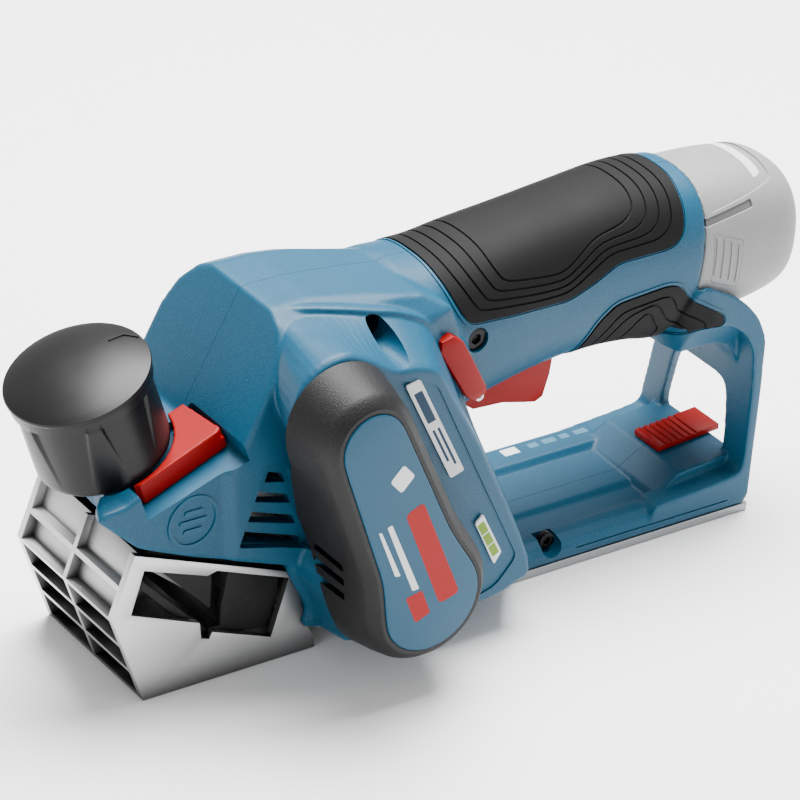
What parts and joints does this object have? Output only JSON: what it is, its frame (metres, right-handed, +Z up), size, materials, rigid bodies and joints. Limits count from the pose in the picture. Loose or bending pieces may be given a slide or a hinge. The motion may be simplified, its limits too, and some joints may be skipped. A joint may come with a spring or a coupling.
{
  "type": "electric hand planer",
  "caption": "Compact cordless hand planer with a belt-driven cutter drum, an adjustable cast front shoe, a fixed rear sole, a trigger handle and a slide-in battery.",
  "frame": {"origin": "centre of the rear sole's face, at the height of the planed surface", "axes": "-X towards the front of the planer, +X towards the battery, -Y towards the belt cover, +Z up from the sole"},
  "size_m": [0.2911, 0.101, 0.1281],
  "materials": {
    "blue_plastic": "fine speckled moulded plastic",
    "black_plastic": "moulded black plastic with a spark texture",
    "rubber_grip": "soft moulded rubber with contour ribs",
    "red_plastic": "semi-gloss moulded plastic",
    "grey_plastic": "light grey moulded plastic",
    "cast_aluminium": "cast and deburred",
    "sole_aluminium": "machined face",
    "steel": "ground steel",
    "label_film": "printed film",
    "gauge_film": "printed film",
    "windings": "laminations and lacquered windings",
    "circuit": "coated circuit board",
    "cell_wrap": "shrink wrap"
  },
  "bodies": {
    "housing": {"left_housing": "blue_plastic", "right_housing": "blue_plastic", "cover_face_panel": "blue_plastic", "belt_cover": "black_plastic", "chip_chute": "black_plastic", "switch_module": "black_plastic", "contact_block": "black_plastic", "upper_grip": "rubber_grip", "lower_grip": "rubber_grip", "shoe_seal_left": "rubber_grip", "shoe_seal_right": "rubber_grip", "drive_belt": "rubber_grip", "rear_sole": "sole_aluminium", "sole_screw_1": "steel", "sole_screw_2": "steel", "sole_screw_3": "steel", "sole_screw_4": "steel", "drum_bearing_left": "steel", "motor_bearing_left": "steel", "motor_bearing_right": "steel", "trigger_pin": "steel", "park_rest_pin": "steel", "handle_screw": "steel", "head_screw": "steel", "base_screw": "steel", "side_label": "label_film", "charge_gauge": "gauge_film", "motor_stator": "windings", "control_board": "circuit"},
    "knob": {"depth_knob": "black_plastic", "depth_spindle": "steel"},
    "shoe": {"front_shoe": "cast_aluminium", "guide_pin_left": "steel", "guide_pin_right": "steel"},
    "catch": {"depth_lock_catch": "red_plastic"},
    "cutter": {"cutter_drum": "steel", "planer_blade": "steel", "blade_clamp": "steel", "clamp_screw_1": "steel", "clamp_screw_2": "steel", "clamp_screw_3": "steel", "drum_pulley": "steel", "drum_bearing_right": "steel"},
    "rotor": {"motor_rotor": "steel", "motor_pulley": "steel", "cooling_fan": "black_plastic"},
    "trigger_lever": {"trigger": "red_plastic"},
    "lock_off": {"lock_off_button": "red_plastic"},
    "rest_slider": {"park_rest_slider": "red_plastic"},
    "rest_foot": {"park_rest_foot": "black_plastic"},
    "battery": {"battery_shell": "grey_plastic", "battery_cell_1": "cell_wrap", "battery_cell_2": "cell_wrap", "battery_cell_3": "cell_wrap", "battery_terminals": "black_plastic"},
    "left_latch": {"latch_left": "grey_plastic"},
    "right_latch": {"latch_right": "grey_plastic"}
  },
  "joints": [
    {"name": "depth_knob_turn", "type": "hinge", "parent": "housing", "child": "knob", "pos_m": [-0.1675, 0, 0.075], "axis": [-0.342, 0, 0.9397], "range_deg": [0, 340]},
    {"name": "shoe_lift", "type": "slide", "parent": "housing", "child": "shoe", "axis": [-0.342, 0, 0.9397], "range_m": [0, 0.0022]},
    {"name": "depth_catch_slide", "type": "slide", "parent": "housing", "child": "catch", "axis": [0, -1, 0], "range_m": [0, 0.0025], "stiffness_N_per_m": 500, "springref_m": -0.002},
    {"name": "drum_spin", "type": "hinge", "parent": "housing", "child": "cutter", "pos_m": [-0.0885, 0, 0.0262], "axis": [0, 1, 0], "continuous": true},
    {"name": "rotor_spin", "type": "hinge", "parent": "housing", "child": "rotor", "pos_m": [-0.1105, 0, 0.096], "axis": [0, 1, 0], "continuous": true},
    {"name": "trigger_pull", "type": "hinge", "parent": "housing", "child": "trigger_lever", "pos_m": [-0.034, 0, 0.066], "axis": [0, -1, 0], "range_deg": [0, 7], "stiffness_Nm_per_rad": 1, "springref_deg": -5.73},
    {"name": "lock_off_press", "type": "slide", "parent": "housing", "child": "lock_off", "axis": [0, 1, 0], "range_m": [0, 0.003], "stiffness_N_per_m": 600, "springref_m": -0.002},
    {"name": "park_rest_slide", "type": "slide", "parent": "housing", "child": "rest_slider", "axis": [-0.9971, 0, -0.0767], "range_m": [0, 0.01]},
    {"name": "park_rest_swing", "type": "hinge", "parent": "housing", "child": "rest_foot", "pos_m": [0.0575, 0, 0.0016], "axis": [0, 1, 0], "range_deg": [0, 35]},
    {"name": "battery_slide", "type": "slide", "parent": "housing", "child": "battery", "axis": [1, 0, 0], "range_m": [0, 0.06]},
    {"name": "left_latch_press", "type": "slide", "parent": "battery", "child": "left_latch", "axis": [0, 1, 0], "range_m": [0, 0.0018], "stiffness_N_per_m": 1000, "springref_m": -0.001},
    {"name": "right_latch_press", "type": "slide", "parent": "battery", "child": "right_latch", "axis": [0, -1, 0], "range_m": [0, 0.0018], "stiffness_N_per_m": 1000, "springref_m": -0.001}
  ],
  "couplings": [
    {"joint": "depth_knob_turn", "follows": "shoe_lift", "rad_per_m": 2690},
    {"joint": "rotor_spin", "follows": "drum_spin", "ratio": 1.4423},
    {"joint": "park_rest_swing", "follows": "park_rest_slide", "rad_per_m": 61}
  ]
}
